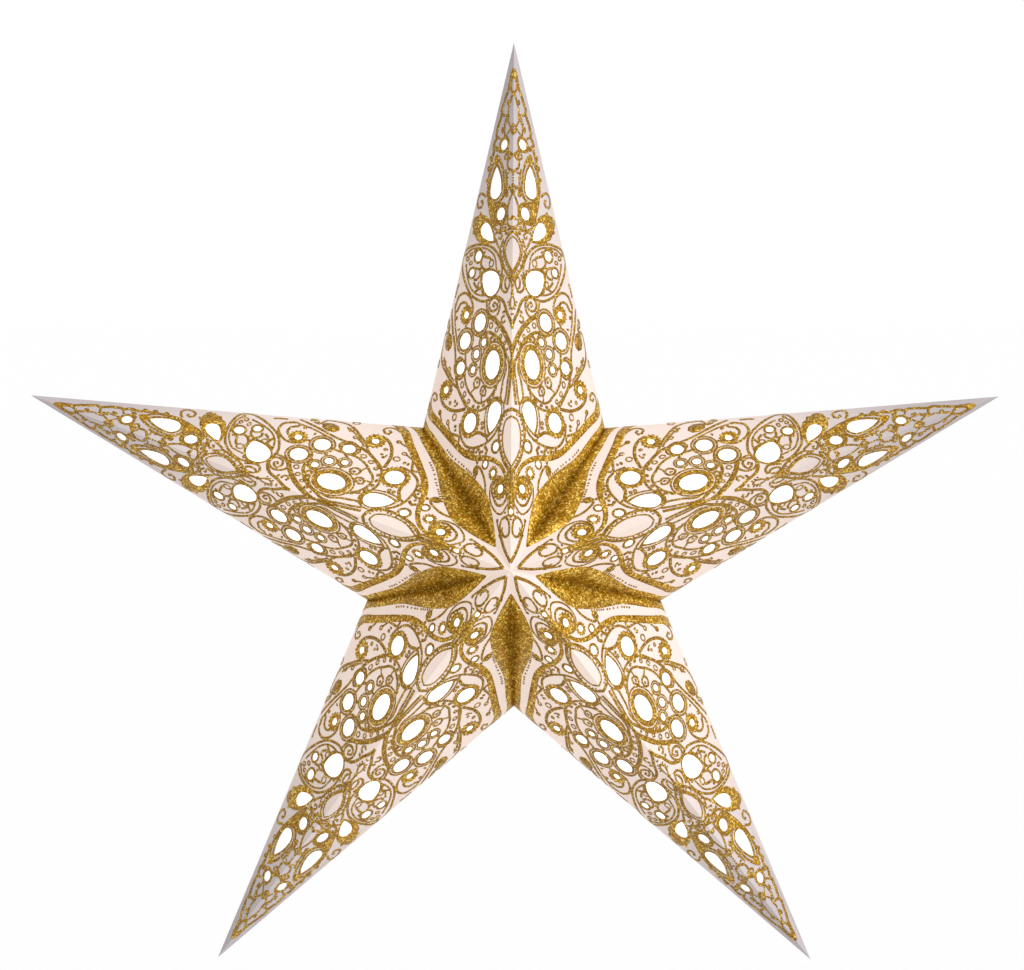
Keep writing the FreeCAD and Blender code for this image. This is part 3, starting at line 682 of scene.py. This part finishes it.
def draw_small_shapes(drawing):
    """The small rings, the dots and the rows of beads."""
    for oval in SMALL_RINGS:
        drawing.ring(oval, -RING_WIDTH, RING_WIDTH, SMALL_RING_CORNERS)
    for dot in DOTS:
        drawing.polygon(ellipse(*dot, DOT_CORNERS), LINE_KIND)
    for row in BEAD_ROWS:
        walked = 0.0
        points = smooth(row)
        for start, end in zip(points, points[1:]):
            walked += np.linalg.norm(end - start)
            if walked >= BEAD_SPACING:
                walked = 0.0
                drawing.bead(end)


def draw_print(surface, extra_openings):
    """All the shapes of the print on half a face."""
    drawing = Drawing(surface)
    draw_openings(drawing, extra_openings)
    draw_borders(drawing)
    draw_glitter(drawing)
    draw_lines(drawing)
    draw_small_shapes(drawing)
    return drawing


def outer_edges(net):
    """The directed edges that belong to one triangle only."""
    edges = np.concatenate([net[:, [0, 1]], net[:, [1, 2]], net[:, [2, 0]]])
    owners = np.tile(np.arange(len(net)), 3)
    pairs = {(start, end) for start, end in edges.tolist()}
    keep = [number for number, (start, end) in enumerate(edges.tolist())
            if (end, start) not in pairs]
    return edges[keep], owners[keep]


def half_face_skin(surface, extra_openings=()):
    """Points, faces and kinds of the closed skin on the front right half face."""
    flat, net, kinds = draw_print(surface, extra_openings).net()
    count = len(flat)
    below = surface.place(flat, 0.0)
    above = surface.place(flat, PRINT_THICKNESS)
    top = net + count
    underside = net[:, ::-1]
    rims, owners = outer_edges(net)
    rims_up = np.concatenate([rims, rims[:, ::-1] + count], axis=1)
    walls = np.concatenate([rims_up[:, [0, 1, 2]], rims_up[:, [0, 2, 3]]])
    faces = np.concatenate([top, underside, walls])
    kinds = np.concatenate([kinds, kinds, kinds[owners], kinds[owners]])
    return np.concatenate([below, above]), faces, kinds


def arm_skin(front, back, turn):
    """The print of one arm: the half face and its mirror images, turned to the arm's place."""
    points, faces, kinds = [], [], []
    total = 0
    for skin, side_x, side_y in ((front, 1, 1), (front, -1, 1), (back, 1, -1), (back, -1, -1)):
        corners, triangles, shape_kinds = skin
        points.append(corners * [side_x, side_y, 1])
        if side_x * side_y < 0:
            triangles = triangles[:, ::-1]
        faces.append(triangles + total)
        kinds.append(shape_kinds)
        total += len(corners)
    points = np.concatenate(points)
    turned = points.copy()
    turned[:, 0] = points[:, 0] * math.cos(turn) + points[:, 2] * math.sin(turn)
    turned[:, 2] = points[:, 2] * math.cos(turn) - points[:, 0] * math.sin(turn)
    return turned * MILLIMETRE, np.concatenate(faces), np.concatenate(kinds)


def mesh_object(name, points, faces, kinds, materials):
    """A mesh of triangles with one material for each kind."""
    mesh = bpy.data.meshes.new(name)
    mesh.vertices.add(len(points))
    mesh.vertices.foreach_set("co", points.astype(np.float32).ravel())
    mesh.loops.add(len(faces) * 3)
    mesh.loops.foreach_set("vertex_index", faces.astype(np.int32).ravel())
    mesh.polygons.add(len(faces))
    mesh.polygons.foreach_set("loop_start", np.arange(0, len(faces) * 3, 3, dtype=np.int32))
    for material in materials:
        mesh.materials.append(material)
    mesh.polygons.foreach_set("material_index", kinds.astype(np.int32))
    mesh.update(calc_edges=True)
    result = bpy.data.objects.new(name, mesh)
    bpy.context.scene.collection.objects.link(result)
    return result


def save_bounds(name, sizes):
    """Notes the lowest and highest corner of the shown object."""
    low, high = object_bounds()
    sizes[name] = [list(low), list(high)]


def new_material(name):
    """A new material and its main shader."""
    material = bpy.data.materials.new(name)
    material.use_nodes = True
    return material, material.node_tree.nodes["Principled BSDF"]


def add_distance_from_middle(material, near, far, near_value, far_value):
    """A value that changes with the distance from the star's Y axis, in millimetres."""
    nodes, links = material.node_tree.nodes, material.node_tree.links
    place = nodes.new("ShaderNodeTexCoord")
    flat = nodes.new("ShaderNodeVectorMath")
    flat.operation = "MULTIPLY"
    flat.inputs[1].default_value = (1, 0, 1)
    length = nodes.new("ShaderNodeVectorMath")
    length.operation = "LENGTH"
    ramp = nodes.new("ShaderNodeMapRange")
    ramp.interpolation_type = "SMOOTHSTEP"
    for socket, value in (("From Min", near * MILLIMETRE), ("From Max", far * MILLIMETRE),
                          ("To Min", near_value), ("To Max", far_value)):
        ramp.inputs[socket].default_value = value
    links.new(place.outputs["Object"], flat.inputs[0])
    links.new(flat.outputs["Vector"], length.inputs[0])
    links.new(length.outputs["Value"], ramp.inputs["Value"])
    return ramp.outputs["Result"]


def add_fibres(material, size, depth):
    """Fine bumps like those of pressed paper."""
    nodes, links = material.node_tree.nodes, material.node_tree.links
    place = nodes.new("ShaderNodeTexCoord")
    noise = nodes.new("ShaderNodeTexNoise")
    noise.inputs["Scale"].default_value = 1 / (size * MILLIMETRE)
    noise.inputs["Detail"].default_value = 4.0
    bump = nodes.new("ShaderNodeBump")
    bump.inputs["Distance"].default_value = depth * MILLIMETRE
    links.new(place.outputs["Object"], noise.inputs["Vector"])
    links.new(noise.outputs["Fac"], bump.inputs["Height"])
    links.new(bump.outputs["Normal"], nodes["Principled BSDF"].inputs["Normal"])


def card_material():
    """Pale card with a painted warm glow, strongest near the middle of the star: emission in place of
    a lamp inside.
    """
    material, shader = new_material("card")
    add_fibres(material, FIBRE_SIZE, FIBRE_DEPTH)
    shader.inputs["Base Color"].default_value = CARD_COLOUR
    shader.inputs["Roughness"].default_value = 0.7
    shader.inputs["Emission Color"].default_value = CARD_PAINTED_GLOW
    glow = add_distance_from_middle(material, near=110, far=300, near_value=0.44, far_value=0.0)
    material.node_tree.links.new(glow, shader.inputs["Emission Strength"])
    return material


def liner_material():
    """White paper with a painted glow: emission in place of a lamp behind it."""
    material, shader = new_material("translucent_paper")
    shader.inputs["Base Color"].default_value = LINER_COLOUR
    shader.inputs["Roughness"].default_value = 0.8
    shader.inputs["Emission Color"].default_value = LINER_PAINTED_GLOW
    glow = add_distance_from_middle(material, near=150, far=270, near_value=0.9, far_value=0.35)
    material.node_tree.links.new(glow, shader.inputs["Emission Strength"])
    return material


def glitter_material(name, stops, grain):
    """Grains of random colour, the gold's own colour spread from painted shade to painted glints:
    stops are pairs of a share and a colour.
    """
    material, shader = new_material(name)
    nodes, links = material.node_tree.nodes, material.node_tree.links
    place = nodes.new("ShaderNodeTexCoord")
    grains = nodes.new("ShaderNodeTexVoronoi")
    grains.inputs["Scale"].default_value = 1 / (grain * MILLIMETRE)
    split = nodes.new("ShaderNodeSeparateColor")
    ramp = nodes.new("ShaderNodeValToRGB")
    elements = ramp.color_ramp.elements
    while len(elements) < len(stops):
        elements.new(1.0)
    for element, (share, colour) in zip(elements, stops):
        element.position = share
        element.color = (*colour, 1)
    links.new(place.outputs["Object"], grains.inputs["Vector"])
    links.new(grains.outputs["Color"], split.inputs["Color"])
    links.new(split.outputs["Red"], ramp.inputs["Fac"])
    links.new(ramp.outputs["Color"], shader.inputs["Base Color"])
    shader.inputs["Roughness"].default_value = 0.4
    shader.inputs["Metallic"].default_value = 0.35
    shader.inputs["Specular IOR Level"].default_value = 0.2
    return material


def paint(obj, material):
    """Gives the object one material."""
    obj.data.materials.clear()
    obj.data.materials.append(material)


def build_floor():
    """A plain pale floor below the star."""
    place = (0, 0, FLOOR_HEIGHT * MILLIMETRE)
    bpy.ops.mesh.primitive_plane_add(size=FLOOR_SIZE * MILLIMETRE, location=place)
    floor = bpy.context.object
    floor.name = "floor"
    material, shader = new_material("floor")
    shader.inputs["Base Color"].default_value = FLOOR_COLOUR
    shader.inputs["Roughness"].default_value = 1.0
    paint(floor, material)
    floor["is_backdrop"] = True


def light_studio():
    """Even light all round, seen as white, and one soft lamp."""
    world = bpy.data.worlds.new("studio")
    bpy.context.scene.world = world
    world.use_nodes = True
    nodes, links = world.node_tree.nodes, world.node_tree.links
    background = nodes["Background"]
    background.inputs["Color"].default_value = (1, 1, 1, 1)
    # Rays from the camera, from mirrors and through glass meet white, and all others the studio.
    ray = nodes.new("ShaderNodeLightPath")
    seen = nodes.new("ShaderNodeMath")
    seen.operation = "MAXIMUM"
    mirrored = nodes.new("ShaderNodeMath")
    mirrored.operation = "MAXIMUM"
    strength = nodes.new("ShaderNodeMapRange")
    strength.inputs["To Min"].default_value = STUDIO_STRENGTH
    strength.inputs["To Max"].default_value = 1.0
    links.new(ray.outputs["Is Camera Ray"], seen.inputs[0])
    links.new(ray.outputs["Is Glossy Ray"], seen.inputs[1])
    links.new(seen.outputs["Value"], mirrored.inputs[0])
    links.new(ray.outputs["Is Transmission Ray"], mirrored.inputs[1])
    links.new(mirrored.outputs["Value"], strength.inputs["Value"])
    links.new(strength.outputs["Result"], background.inputs["Strength"])

    data = bpy.data.lights.new("lamp", "SUN")
    data.energy = LAMP_STRENGTH
    data.angle = math.radians(LAMP_SPREAD)
    lamp = bpy.data.objects.new("lamp", data)
    lamp.rotation_mode = "QUATERNION"
    lamp.rotation_quaternion = Vector(LAMP_DIRECTION).to_track_quat("-Z", "Y")
    bpy.context.scene.collection.objects.link(lamp)


def build_camera():
    """The photo's view."""
    azimuth = math.radians(VIEW_AZIMUTH)
    elevation = math.radians(VIEW_ELEVATION)
    back = Vector((
        math.sin(azimuth) * math.cos(elevation),
        -math.cos(azimuth) * math.cos(elevation),
        math.sin(elevation),
    ))
    data = bpy.data.cameras.new("view")
    data.lens = VIEW_LENS
    data.sensor_width = SENSOR_WIDTH
    data.clip_end = VIEW_REACH * MILLIMETRE
    camera = bpy.data.objects.new("view", data)
    bpy.context.scene.collection.objects.link(camera)
    camera.location = (Vector(VIEW_AIM) + back * VIEW_DISTANCE) * MILLIMETRE
    camera.rotation_mode = "QUATERNION"
    camera.rotation_quaternion = (-back).to_track_quat("-Z", "Y")
    bpy.context.scene.camera = camera


def paint_paper(frame):
    """Gives the card and the liner of each arm their materials."""
    card = card_material()
    liner = liner_material()
    for arm in ARM_NAMES:
        paint(frame["nodes"][arm + "_arm_card"], card)
        paint(frame["nodes"][arm + "_arm_liner"], liner)


def add_prints():
    """Adds the print of each arm. The top arm's print has the slot on its back."""
    high_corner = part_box("top_arm_card")[1]
    surface = ArmSurface(high_corner.z / MILLIMETRE, high_corner.y / MILLIMETRE)
    materials = [glitter_material("gold_lines", GOLD_LINES, LINE_GRAIN),
                 glitter_material("gold_glitter", GOLD_GLITTER, GLITTER_GRAIN)]
    skin = half_face_skin(surface)
    skin_with_slot = half_face_skin(surface, [CORD_SLOT])
    for number, arm in enumerate(ARM_NAMES):
        back_skin = skin_with_slot if arm == "top" else skin
        points, faces, kinds = arm_skin(skin, back_skin, 2 * HALF_TURN * number)
        piece = mesh_object(arm + "_arm_print", points, faces, kinds, materials)
        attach(piece, "root")
        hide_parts(arm + "_arm_glitter_print")


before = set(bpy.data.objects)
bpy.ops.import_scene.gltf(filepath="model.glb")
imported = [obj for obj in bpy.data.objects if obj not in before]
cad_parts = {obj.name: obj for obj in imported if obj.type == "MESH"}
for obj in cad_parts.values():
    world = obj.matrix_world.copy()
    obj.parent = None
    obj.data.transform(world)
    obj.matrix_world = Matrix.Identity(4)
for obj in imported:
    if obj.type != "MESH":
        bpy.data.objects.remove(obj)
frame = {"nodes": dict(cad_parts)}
sizes = {}
save_bounds("frame", sizes)

paint_paper(frame)
add_prints()
build_floor()
light_studio()
build_camera()
bpy.context.scene.view_settings.view_transform = "Standard"

save_bounds("scene", sizes)
